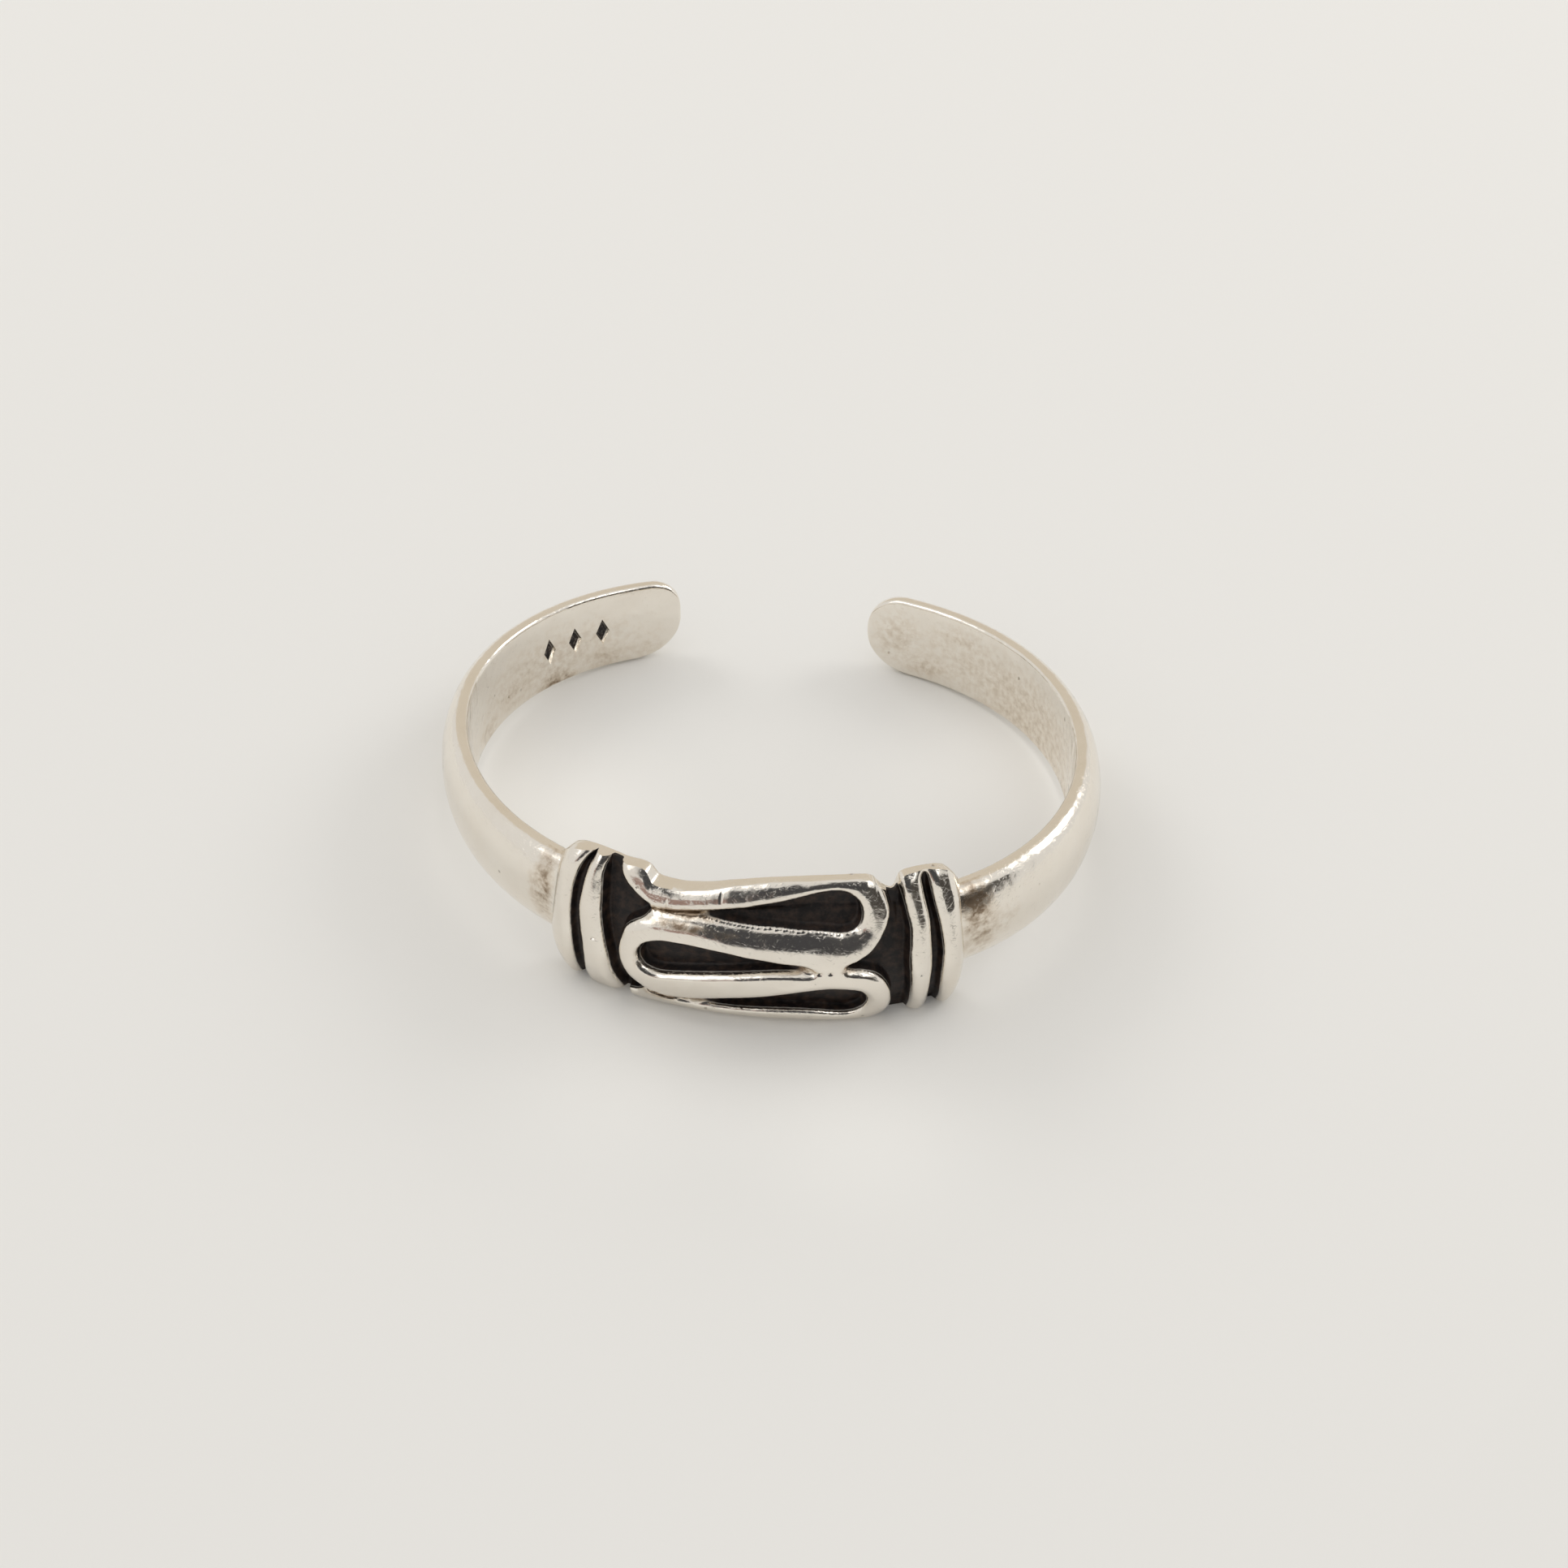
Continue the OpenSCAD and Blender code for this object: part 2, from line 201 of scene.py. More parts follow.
# %% Outlines of the sunken places
sunken = {
    "left groove": dict(depth=0.36, lip=0.03, rows=[
        (-4.04, 1.98), (-4.22, 1.80), (-4.33, 1.58), (-4.41, 1.35), (-4.46, 1.14), (-4.50, 0.85),
        (-4.52, 0.59), (-4.53, 0.25), (-4.52, -0.20), (-4.50, -0.60), (-4.49, -1.04), (-4.50, -1.40),
        (-4.54, -1.80), (-4.61, -2.30), (-4.68, -3.0), (-4.40, -3.0), (-4.33, -2.30), (-4.26, -1.80),
        (-4.20, -1.40), (-4.17, -1.00), (-4.18, -0.60), (-4.22, -0.25), (-4.26, 0.20), (-4.27, 0.47),
        (-4.25, 0.75), (-4.22, 1.10), (-4.17, 1.40), (-4.12, 1.62), (-4.05, 1.82)]),
    "left field": dict(depth=0.50, lip=0.06, soft=(0.18, 0.18, 0.03), rows=[
        (-3.60, 2.6), (-3.66, 1.95), (-3.72, 1.68), (-3.75, 1.42), (-3.73, 1.15), (-3.70, 0.85),
        (-3.69, 0.50), (-3.66, 0.20), (-3.61, -0.20), (-3.55, -0.60), (-3.50, -0.90), (-3.48, -1.20),
        (-3.46, -1.55), (-3.42, -1.85), (-3.38, -2.2), (-3.36, -3.0), (-3.20, -3.0), (-3.18, -2.45),
        (-3.13, -2.20), (-3.02, -2.13), (-2.88, -2.08), (-2.74, -1.95), (-2.63, -1.78), (-2.70, -1.65),
        (-2.84, -1.50), (-2.98, -1.33), (-3.07, -1.14), (-3.13, -0.95), (-3.17, -0.73), (-3.18, -0.50),
        (-3.16, -0.30), (-3.11, -0.08), (-3.04, 0.20), (-2.95, 0.35), (-2.84, 0.45), (-2.71, 0.54),
        (-2.58, 0.63), (-2.48, 0.74), (-2.42, 0.88), (-2.48, 1.00), (-2.60, 1.08), (-2.75, 1.17),
        (-2.92, 1.29), (-3.09, 1.42), (-3.21, 1.57), (-3.30, 1.73), (-3.33, 1.90), (-3.31, 2.6)]),
    "left seam": dict(depth=0.14, lip=-0.02, bevel=0.05, rows=[
        (-2.66, -1.72), (-2.45, -1.77), (-2.25, -1.84), (-2.05, -1.90), (-1.85, -1.93), (-1.60, -1.95),
        (-1.60, -2.01), (-1.85, -2.00), (-2.05, -1.97), (-2.25, -1.90), (-2.45, -1.82)]),
    "top tear": dict(depth=0.48, lip=0.08, soft=(0.26, 0.42, 0.115), shallow=(-1.3, -0.3, 0.3), rows=[
        (-2.52, 0.93), (-2.16, 0.96), (-1.87, 0.98), (-1.45, 1.04), (-1.05, 1.12), (-0.45, 1.25),
        (-0.06, 1.33), (0.34, 1.44), (0.73, 1.53), (1.12, 1.65), (1.52, 1.76), (1.85, 1.82), (2.08, 1.84),
        (2.28, 1.81), (2.44, 1.74), (2.60, 1.60), (2.70, 1.43), (2.74, 1.24), (2.72, 1.02), (2.65, 0.86),
        (2.52, 0.74), (2.32, 0.68), (2.12, 0.70), (1.93, 0.73), (1.54, 0.78), (1.14, 0.80), (0.75, 0.83),
        (0.21, 0.83), (-0.43, 0.86), (-0.93, 0.91), (-1.24, 0.92), (-1.64, 0.89), (-2.05, 0.87),
        (-2.40, 0.87)]),
    "middle tear": dict(depth=0.48, lip=0.10, bevel=0.10, soft=(0.04, 0.08, 0.012),
                        shallow=(1.6, 0.7, 0.22), rows=[
        (-2.60, -0.24), (-2.51, -0.11), (-2.38, -0.01), (-2.20, 0.07), (-1.99, 0.12), (-1.58, 0.14),
        (-1.19, 0.13), (-0.80, 0.10), (-0.39, 0.06), (-0.01, 0.0), (0.39, -0.04), (0.77, -0.10),
        (1.15, -0.14), (1.36, -0.18), (1.51, -0.26), (1.58, -0.35), (1.48, -0.41), (1.25, -0.42),
        (0.97, -0.41), (0.64, -0.43), (0.40, -0.46), (0.0, -0.53), (-0.38, -0.60), (-0.79, -0.68),
        (-1.27, -0.78), (-1.76, -0.89), (-2.10, -0.96), (-2.36, -0.93), (-2.54, -0.82), (-2.64, -0.66),
        (-2.67, -0.50), (-2.65, -0.35)]),
    "low tear": dict(depth=0.46, lip=0.08, soft=(0.10, 0.10, 0.02), shallow=(-1.5, -0.3, 0.25), rows=[
        (-1.80, -1.97), (-1.46, -1.85), (-1.20, -1.77), (-0.83, -1.65), (-0.40, -1.52), (0.0, -1.42),
        (0.42, -1.31), (0.87, -1.18), (1.32, -1.06), (1.76, -0.97), (2.05, -0.96), (2.32, -0.99),
        (2.55, -1.04), (2.70, -1.11), (2.81, -1.25), (2.88, -1.42), (2.90, -1.60), (2.85, -1.80),
        (2.74, -1.96), (2.58, -2.08), (2.38, -2.13), (2.10, -2.09), (1.80, -2.02), (1.5, -1.97),
        (1.10, -1.95), (0.63, -1.97), (0.15, -2.03), (-0.38, -2.07), (-0.82, -2.09), (-1.15, -2.10),
        (-1.50, -2.08)]),
    "right field": dict(depth=0.50, lip=0.06, bevel=0.12, soft=(0.08, 0.08, 0.01), rows=[
        (3.25, 2.6), (3.27, 2.05), (3.31, 1.88), (3.35, 1.65), (3.39, 1.40), (3.395, 1.15), (3.35, 0.90),
        (3.27, 0.69), (3.18, 0.51), (3.09, 0.36), (2.99, 0.22), (2.87, 0.10), (2.73, 0.0), (2.60, -0.08),
        (2.46, -0.14), (2.36, -0.22), (2.39, -0.31), (2.54, -0.36), (2.72, -0.39), (2.88, -0.44),
        (3.02, -0.51), (3.14, -0.61), (3.24, -0.75), (3.32, -0.91), (3.39, -1.10), (3.44, -1.33),
        (3.47, -1.60), (3.46, -1.86), (3.41, -2.10), (3.30, -2.29), (3.16, -2.45), (3.06, -3.0),
        (4.08, -3.0), (4.03, -2.45), (3.99, -1.93), (3.95, -1.50), (3.92, -1.02), (3.88, -0.60),
        (3.87, -0.20), (3.89, 0.10), (3.90, 0.50), (3.88, 0.75), (3.83, 1.02), (3.78, 1.30),
        (3.74, 1.50), (3.69, 1.70), (3.63, 1.88), (3.58, 2.6)]),
    "right groove": dict(depth=0.40, lip=0.05, rows=[
        (4.34, 2.02), (4.26, 1.96), (4.23, 1.86), (4.25, 1.66), (4.28, 1.45), (4.31, 1.25), (4.35, 1.0),
        (4.38, 0.70), (4.39, 0.35), (4.40, -0.10), (4.40, -0.50), (4.39, -0.90), (4.39, -1.30),
        (4.41, -1.70), (4.46, -2.15), (4.52, -3.0), (4.86, -3.0), (4.80, -2.15), (4.73, -1.65),
        (4.68, -1.15), (4.68, -0.70), (4.70, -0.25), (4.68, 0.10), (4.65, 0.42), (4.61, 0.72),
        (4.55, 1.05), (4.50, 1.35), (4.46, 1.62), (4.43, 1.85), (4.40, 1.97)]),
}


def smooth_loop(rows, parts=6):
    """A closed curve through the rows, with the given number of short steps between two of them."""
    p = np.array(rows, float)
    before, after, far = np.roll(p, 1, 0), np.roll(p, -1, 0), np.roll(p, -2, 0)
    steps = []
    for t in np.arange(parts) / parts:
        steps.append(p + t / 2 * (after - before + t * (2 * before - 5 * p + 4 * after - far
                                                       + t * (3 * (p - after) + far - before))))
    return np.stack(steps, 1).reshape(-1, 2)


def edge_distance(points, loop, margin=0.7):
    """How far each point lies outside a closed curve, negative inside it, and how much it lies below."""
    far, below = np.full(len(points), margin), np.zeros(len(points))
    low, high = loop.min(0) - margin, loop.max(0) + margin
    near = np.nonzero(((points > low) & (points < high)).all(1))[0]
    x, y = points[near].T
    best, drop, inside = np.full(len(near), 1e9), np.zeros(len(near)), np.zeros(len(near), bool)
    for (ax, ay), (bx, by) in zip(loop, np.roll(loop, -1, 0)):
        ex, ey = bx - ax, by - ay
        t = np.clip(((x - ax) * ex + (y - ay) * ey) / max(ex * ex + ey * ey, 1e-12), 0, 1)
        gx, gy = x - ax - t * ex, y - ay - t * ey
        gap = np.hypot(gx, gy)
        closer = gap < best
        best[closer], drop[closer] = gap[closer], gy[closer]
        if ay != by:
            inside ^= ((ay > y) != (by > y)) & (x < ex * (y - ay) / ey + ax)
    far[near] = np.minimum(np.where(inside, -best, best), margin)
    below[near] = np.clip(-drop / np.maximum(best, 1e-6), 0, 1)
    return far, below


for place in sunken.values():
    place["loop"] = smooth_loop(place["rows"])
print(len(sunken), "sunken places")

# %% [markdown]
# ## The relief
# One function says how high the outer face stands at any place. Far from a sunken place it is the
# arch. Towards an edge the face rounds off, as polishing leaves it, then comes a narrow burnished
# bevel that catches the light, a steep wall and the floor. A few nicks are pressed in where the real
# ring has them.

# %% Height of the outer face
WALL, BEVEL_W, BEVEL_DROP, BEVEL_POWER = 0.09, 0.15, 0.12, 1.4
CRISP_W, CRISP_DROP, MOST_DROP = 0.10, 0.02, 0.15
FOOT_W, FOOT_DROP, LEAST_H = 0.09, 0.04, 0.20
SOFT_FROM, SOFT_TO, BLUR, OWN_SHARE = -1.4, 0.4, 0.012, 0.3
round_rows = np.array([
    (-5.3, 0.38), (-3.5, 0.32), (-2.7, 0.24), (-2.0, 0.20), (2.8, 0.20), (3.6, 0.40), (5.3, 0.42)])
round_drop_rows = np.array([
    (-5.3, 0.14), (-3.5, 0.09), (-2.8, 0.05), (-2.2, 0.05), (-1.6, 0.08), (2.8, 0.08), (3.6, 0.14),
    (5.3, 0.15)])
# Rounding of the panel's left and right end: how wide, and how deep low down and high up.
END_W, END_DROP, END_POWER = (0.85, 0.45), ((0.42, 0.62), (0.34, 0.34)), 2.4
# Each nick: its place, its half sizes along and up, and its depth.
nick_rows = [
    (-0.68, 1.56, 0.02, 0.12, 0.03), (-2.02, 1.15, 0.02, 0.12, 0.04), (1.50, -2.28, 0.05, 0.10, 0.06),
    (1.72, -0.33, 0.05, 0.03, 0.06), (1.97, -0.32, 0.05, 0.035, 0.06), (1.62, -0.62, 0.03, 0.03, 0.03),
    (4.10, -0.70, 0.05, 0.02, 0.03), (-3.80, -0.35, 0.07, 0.03, 0.07), (-4.02, -0.38, 0.02, 0.03, 0.03),
    (-2.30, 0.30, 0.015, 0.09, 0.03), (-2.52, -1.72, 0.06, 0.03, 0.05), (-2.28, -1.80, 0.05, 0.05, 0.06),
    (-2.10, -1.92, 0.04, 0.08, 0.06), (-1.75, -1.85, 0.06, 0.04, 0.05), (-1.48, -2.0, 0.05, 0.05, 0.06)]


def relief(s, z):
    """Height of the outer face and how far it lies under the polished surface, eased over a hair's width."""
    near = [sharp_relief(s + a * BLUR, z + b * BLUR)
            for a, b in ((0, 0), (1, 1), (1, -1), (-1, 1), (-1, -1))]
    other_share = (1 - OWN_SHARE) / 4
    return tuple(OWN_SHARE * near[0][k] + other_share * sum(n[k] for n in near[1:]) for k in (0, 1))


def sharp_relief(s, z):
    """The same two numbers at one exact place: the arch less its rounded edges, cuts and nicks."""
    points = np.column_stack([s, z])
    polished, cut, lip, nicks = np.zeros((4, len(s)))
    for place in sunken.values():
        d, below = edge_distance(points, place["loop"])
        depth = place["depth"]
        if "shallow" in place:
            low, high, least = place["shallow"]
            t = np.clip((s - low) / (high - low), 0, 1)
            depth = depth * (least + (1 - least) * t * t * (3 - 2 * t))
        soft_left, soft_right, soft_drop = place.get("soft", (CRISP_W, CRISP_W, CRISP_DROP))
        soft_w = np.interp(s, (SOFT_FROM, SOFT_TO), (soft_left, soft_right))
        bevel_w = place.get("bevel", BEVEL_W)
        width, drop = CRISP_W + (soft_w - CRISP_W) * below, CRISP_DROP + (soft_drop - CRISP_DROP) * below
        polished += drop * np.clip(1 - np.maximum(d - bevel_w, 0) / width, 0, 1) ** 2
        bevel = BEVEL_DROP * np.clip(1 - d / bevel_w, 0, 1) ** BEVEL_POWER
        t = np.clip(-d / WALL, 0, 1)
        wall = np.maximum(depth - BEVEL_DROP, 0) * t * (2 - t)
        this_cut = np.where(d < 0, np.minimum(BEVEL_DROP, depth) + wall, np.minimum(bevel, depth))
        lip = np.where(this_cut > cut, place["lip"], lip)
        cut = np.maximum(cut, this_cut)
    for ns, nz, half_s, half_z, depth in nick_rows:
        nicks += depth * np.exp(-((s - ns) / half_s) ** 2 - ((z - nz) / half_z) ** 2)
    to_rim = (along(rim_curve, s) - z) / along(rim_slant, s)
    to_foot = (z - along(foot_curve, s)) / along(foot_slant, s)
    rounded = along(round_drop_rows, s) * np.clip(1 - to_rim / along(round_rows, s), 0, 1) ** 2
    rounded += FOOT_DROP * np.clip(1 - to_foot / FOOT_W, 0, 1) ** 2
    side = (s > 0).astype(int)
    low_drop, high_drop = np.array(END_DROP)[side].T
    end_drop = low_drop + (high_drop - low_drop) * np.clip((z + 1) / 2, 0, 1)
    rounded += end_drop * np.clip(1 - (PANEL_HALF - np.abs(s)) / np.array(END_W)[side], 0, 1) ** END_POWER
    full = arch(s, z) - np.minimum(polished, MOST_DROP) - rounded
    return np.maximum(full - cut, LEAST_H) - nicks, cut + 2 * nicks - lip


print("strip and ribs stand", max(p["depth"] for p in sunken.values()), "mm over the floor")

# %% [markdown]
# ## The panel
# A fine grid is the outer face. Its columns run from foot to rim and each vertex is lifted to the
# height of the relief, which is what sculpting it would do, only exactly. In edit mode the rim and
# foot are then extruded back to the inner wall, with a small round, the two rows are bridged for
# the inner face, and the open ends are filled.

# %% Helpers for working on one mesh
def deselect_all():
    if bpy.context.object and bpy.context.object.mode != "OBJECT":
        bpy.ops.object.mode_set(mode="OBJECT")
    bpy.ops.object.select_all(action="DESELECT")


def read(obj):
    co = np.empty(len(obj.data.vertices) * 3)
    obj.data.vertices.foreach_get("co", co)
    return co.reshape(-1, 3)


def write(obj, co):
    obj.data.vertices.foreach_set("co", np.asarray(co, float).ravel())
    obj.data.update()


def select_vertices(obj, chosen):
    """Selects just these vertices, and the edges and faces between them, and opens edit mode."""
    if obj.mode != "OBJECT":
        bpy.ops.object.mode_set(mode="OBJECT")
    mesh = obj.data
    mesh.polygons.foreach_set("select", np.zeros(len(mesh.polygons), bool))
    edges = np.empty(len(mesh.edges) * 2, int)
    mesh.edges.foreach_get("vertices", edges)
    mesh.vertices.foreach_set("select", chosen)
    mesh.edges.foreach_set("select", chosen[edges.reshape(-1, 2)].all(1))
    bpy.ops.object.mode_set(mode="EDIT")
    bpy.ops.mesh.select_mode(type="EDGE")


# %% Grid, relief and closing of the panel
COLUMNS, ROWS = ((430, 184))
# The rim's and the foot's small round towards the inner wall: heights and how far it has drawn in.
WALL_ROUND, AT_EDGE = ((0.09, 0.0), (0.05, 0.006), (0.02, 0.022), (0.0, 0.055)), 1e-4
deselect_all()
bpy.ops.mesh.primitive_grid_add(x_subdivisions=COLUMNS, y_subdivisions=ROWS, size=2)
panel = bpy.context.object
panel.name = "silver_ring"
uv = read(panel)
s = PANEL_HALF * uv[:, 0]
low, top = along(foot_curve, s), along(rim_curve, s)
z = low + (top - low) * (uv[:, 1] + 1) / 2
h, cut = relief(s, z)
write(panel, np.column_stack([s, -h, z]))

for way, share in ((1, uv[:, 1] > 1 - AT_EDGE), (-1, uv[:, 1] < -1 + AT_EDGE)):
    chosen = np.zeros(len(panel.data.vertices), bool)
    chosen[:len(share)] = share
    for height, inset in WALL_ROUND:
        select_vertices(panel, chosen)
        bpy.ops.mesh.extrude_edges_move()
        bpy.ops.object.mode_set(mode="OBJECT")
        chosen = np.empty(len(panel.data.vertices), bool)
        panel.data.vertices.foreach_get("select", chosen)
        co = read(panel)
        edge = along(rim_curve if way > 0 else foot_curve, co[chosen, 0])
        co[chosen, 1] = -height
        co[chosen, 2] = edge - way * inset
        write(panel, co)
flat = np.abs(read(panel)[:, 1]) < 1e-6
select_vertices(panel, flat)
bpy.ops.mesh.bridge_edge_loops()
for end in (-1, 1):
    bpy.ops.object.mode_set(mode="OBJECT")
    co = read(panel)
    select_vertices(panel, end * co[:, 0] > PANEL_HALF - AT_EDGE)
    bpy.ops.mesh.edge_face_add()
bpy.ops.mesh.select_all(action="SELECT")
bpy.ops.mesh.normals_make_consistent(inside=False)
bpy.ops.object.mode_set(mode="OBJECT")
print("panel", len(panel.data.polygons), "faces")

# %% [markdown]
# ## The arms
# Each arm is the same half-round section: flat inside, with an upright edge and a low arch outside.
# A circle is set to that section, filled and extruded once to the arm's length, and the long edges
# are subdivided into rings. The last rings are drawn together for the tip, which was filed round in
# plan and hammered a little thinner, and its very edge is eased.

# %% Section, extrusion and tips of the arms
SECTION_POWER, ARCH_POINTS, INNER_POINTS = 2.1, 30, 9
CORNER, EDGE, ROOT_SINK, ROOT_LIFT, ROOT_CLEAR = 0.13, 0.19, 0.5, 0.1, 0.03
TIP_UP, TIP_LOW = (0.85, 1.15), (1.5, 1.4)
TIP_THINNING, TIP_EASE, RINGS, TIP_RINGS = 0.3, 0.14, 120, 26
EASE_IN_PLAN, EASE_IN_HEIGHT, LEAST_HALF = 0.5, 0.85, 0.02


def band_section():
    u = -np.cos(np.linspace(0, math.pi, ARCH_POINTS))
    rise = np.sqrt(np.maximum(0, 1 - np.abs(u) ** SECTION_POWER))
    outer = np.column_stack([u * BAND_W / 2, EDGE + (BAND_CROWN - EDGE) * rise])
    t = np.radians([0, 22, 45, 68, 90])
    corner = np.column_stack([BAND_W / 2 - CORNER * (1 - np.cos(t)), CORNER * (1 - np.sin(t))])
    inner = np.column_stack([np.linspace(1, -1, INNER_POINTS)[1:-1] * (BAND_W / 2 - CORNER),
                             np.zeros(INNER_POINTS - 2)])
    return np.vstack([outer, corner, inner, corner[::-1] * (-1, 1)])


section = band_section()


def make_arm(side):
    """One straight arm, from its root in the outer rib to its tip."""
    way = (-1, 1)[side]
    start, end = PANEL_HALF - ROOT_SINK, abs(ARM_END[side])
    deselect_all()
    bpy.ops.mesh.primitive_circle_add(vertices=len(section), fill_type="NGON")
    arm = bpy.context.object
    write(arm, np.column_stack([np.full(len(section), start), -section[:, 1], section[:, 0]]))
    bpy.ops.object.mode_set(mode="EDIT")
    bpy.ops.mesh.select_all(action="SELECT")
    bpy.ops.mesh.extrude_region_move(TRANSFORM_OT_translate={"value": (end - start, 0, 0)})
    bpy.ops.object.mode_set(mode="OBJECT")
    mesh = arm.data
    co = read(arm)
    select_vertices(arm, np.zeros(len(co), bool))
    bpy.ops.object.mode_set(mode="OBJECT")
    for edge in mesh.edges:
        a, b = edge.vertices
        edge.select = abs(co[a, 0] - co[b, 0]) > 1
    bpy.ops.object.mode_set(mode="EDIT")
    bpy.ops.mesh.select_mode(type="EDGE")
    bpy.ops.mesh.subdivide(number_cuts=RINGS)
    bpy.ops.mesh.select_all(action="SELECT")
    bpy.ops.mesh.normals_make_consistent(inside=False)
    bpy.ops.object.mode_set(mode="OBJECT")
    co = read(arm)
    ring = np.rint((co[:, 0] - start) / (end - start) * (RINGS + 1)).astype(int)
    tip = max(TIP_UP[side], TIP_LOW[side])
    tip_turn = np.linspace(0, math.pi / 2, TIP_RINGS + 1)
    straight = RINGS + 1 - TIP_RINGS
    places = np.concatenate([
        [start], np.linspace(PANEL_HALF + ROOT_CLEAR, end - tip, straight),
        end - tip * (1 - np.sin(tip_turn[1:]))])
    co[:, 0] = places[ring]
    back = end - co[:, 0]
    r = np.where(co[:, 2] > 0, TIP_UP[side], TIP_LOW[side])
    trim = r - np.sqrt(np.maximum(0, r ** 2 - np.maximum(0, r - back) ** 2))
    thin = 1 - TIP_THINNING * np.maximum(0, 1 - back / tip) ** 3
    ease = TIP_EASE - np.sqrt(np.maximum(0, TIP_EASE ** 2 - np.maximum(0, TIP_EASE - back) ** 2))
    half = BAND_W / 2 - trim
    height = -co[:, 1] * thin
    middle = BAND_CROWN * thin / 2
    squeeze = 1 - EASE_IN_HEIGHT * ease / (BAND_CROWN / 2)
    co[:, 2] *= np.maximum(half - EASE_IN_PLAN * ease, LEAST_HALF) / (BAND_W / 2)
    co[:, 1] = -(middle + (height - middle) * squeeze)
    root = ring == 0
    co[root, 1] = np.minimum(co[root, 1], -ROOT_LIFT)
    co[:, 0] *= way
    write(arm, co)
    if way < 0:
        bpy.ops.object.mode_set(mode="EDIT")
        bpy.ops.mesh.select_all(action="SELECT")
        bpy.ops.mesh.normals_make_consistent(inside=False)
        bpy.ops.object.mode_set(mode="OBJECT")
    return arm


arms = [make_arm(0), make_arm(1)]
print("arms", [len(a.data.polygons) for a in arms], "faces")

# %% [markdown]
# ## Punched marks and soldering
# Three plain lozenges are punched into the inner wall near the left tip. A four-sided cone is the
# punch. The arms are soldered into the outer ribs, so both are joined to the panel as one skin.

# %% Punch, cut and join
MARK_COUNT, MARK_PITCH, MARK_H, MARK_W, MARK_DEPTH, MARK_FROM_TIP = 3, 0.95, 1.0, 0.5, 0.12, 2.5
PUNCH_OVER, PUNCH_R, PUNCH_TIP_R = 0.05, 0.5, 0.34
marks_s = ARM_END[0] + MARK_FROM_TIP + MARK_PITCH * np.arange(MARK_COUNT)


def combine(target, tool, operation):
    """Applies a boolean of the tool to the target and takes the tool away."""
    deselect_all()
    bpy.context.view_layer.objects.active = target
    target.select_set(True)
    step = target.modifiers.new(operation.lower(), "BOOLEAN")
    step.operation, step.object, step.solver = operation, tool, "MANIFOLD"
    bpy.ops.object.modifier_apply(modifier=step.name)
    bpy.data.objects.remove(tool)


for mark_s in marks_s:
    deselect_all()
    bpy.ops.mesh.primitive_cone_add(vertices=4, radius1=PUNCH_R, radius2=PUNCH_TIP_R, depth=1)
    punch = bpy.context.object
    co = read(punch)
    reach = np.where(co[:, 2] > 0, MARK_DEPTH, -PUNCH_OVER)
    write(punch, np.column_stack([mark_s + co[:, 0] * MARK_W, -reach, co[:, 1] * MARK_H]))
    bpy.ops.object.mode_set(mode="EDIT")
    bpy.ops.mesh.select_all(action="SELECT")
    bpy.ops.mesh.normals_make_consistent(inside=False)
    combine(arms[0], punch, "DIFFERENCE")
for arm in arms:
    combine(panel, arm, "UNION")
ring = panel
print("one skin of", len(ring.data.polygons), "faces")

# %% [markdown]
# ## What the finish needs to know
# While the ring is still flat, each vertex keeps its flat place and two numbers for the finish: how
# deep it lies under the polished surface, and how much it is stained. Stains are soft spots, each
# row with its side of the metal, place, half sizes and strength.

# %% Flat places, depth and stains kept on the mesh
MARK_SHADE, SAME_FACE, OUTSIDE_H, INSIDE_H = 0.15, 0.03, 0.2, 0.06
stain_rows = [
    ("out", -5.42, 0.35, 0.24, 1.30, 0.9), ("out", -5.25, 1.15, 0.14, 0.25, 1.0),
    ("out", -5.75, 0.10, 0.22, 0.90, 0.5), ("out", 5.45, 0.30, 0.22, 1.10, 0.8),
    ("out", 5.62, 0.85, 0.38, 0.45, 1.7), ("out", 5.80, 0.00, 0.50, 0.95, 0.7),
    ("out", 6.5, 0.0, 0.50, 0.60, 0.35), ("out", -1.60, 0.96, 0.85, 0.14, 1.5),
    ("out", -1.20, 1.04, 0.60, 0.12, 1.2), ("out", -2.35, 0.93, 0.25, 0.12, 1.1),
    ("out", -1.60, 0.66, 0.75, 0.11, 1.1), ("out", -0.6, 0.60, 0.50, 0.09, 0.8),
    ("out", -3.66, 0.85, 0.08, 0.25, 0.7), ("out", -3.50, 1.7, 0.12, 0.4, 0.6),
    ("out", -1.9, -1.90, 0.60, 0.14, 1.5), ("out", -1.1, -1.85, 0.50, 0.18, 1.3),
    ("out", -0.5, -1.85, 0.40, 0.16, 0.8), ("out", 1.25, -0.30, 0.40, 0.11, 1.2),
    ("out", 2.4, -0.28, 0.20, 0.10, 1.0), ("out", -2.65, -0.62, 0.12, 0.30, 0.5),
    ("in", -17.9, -1.12, 0.8, 0.28, 1.0), ("in", -19.7, -1.0, 0.9, 0.30, 0.60),
    ("in", -15.9, -0.6, 0.9, 0.50, 0.50), ("in", -14.4, -1.0, 0.8, 0.30, 0.6),
    ("in", -21.0, -0.9, 0.8, 0.50, 0.35), ("in", -17.5, -0.3, 4.5, 1.2, 0.36),
    ("in", 10.4, -1.0, 0.9, 0.35, 0.9), ("in", 13.0, -1.1, 2.5, 0.35, 0.6),
    ("in", 16.5, -1.0, 3.0, 0.45, 0.5), ("in", 19.5, 0.6, 1.5, 0.5, 0.4),
    ("in", 21.7, 0.0, 0.9, 1.1, 0.42), ("in", 20.8, -0.8, 1.0, 0.4, 0.5),
    ("in", 16.5, -0.2, 6.0, 1.3, 0.42)]


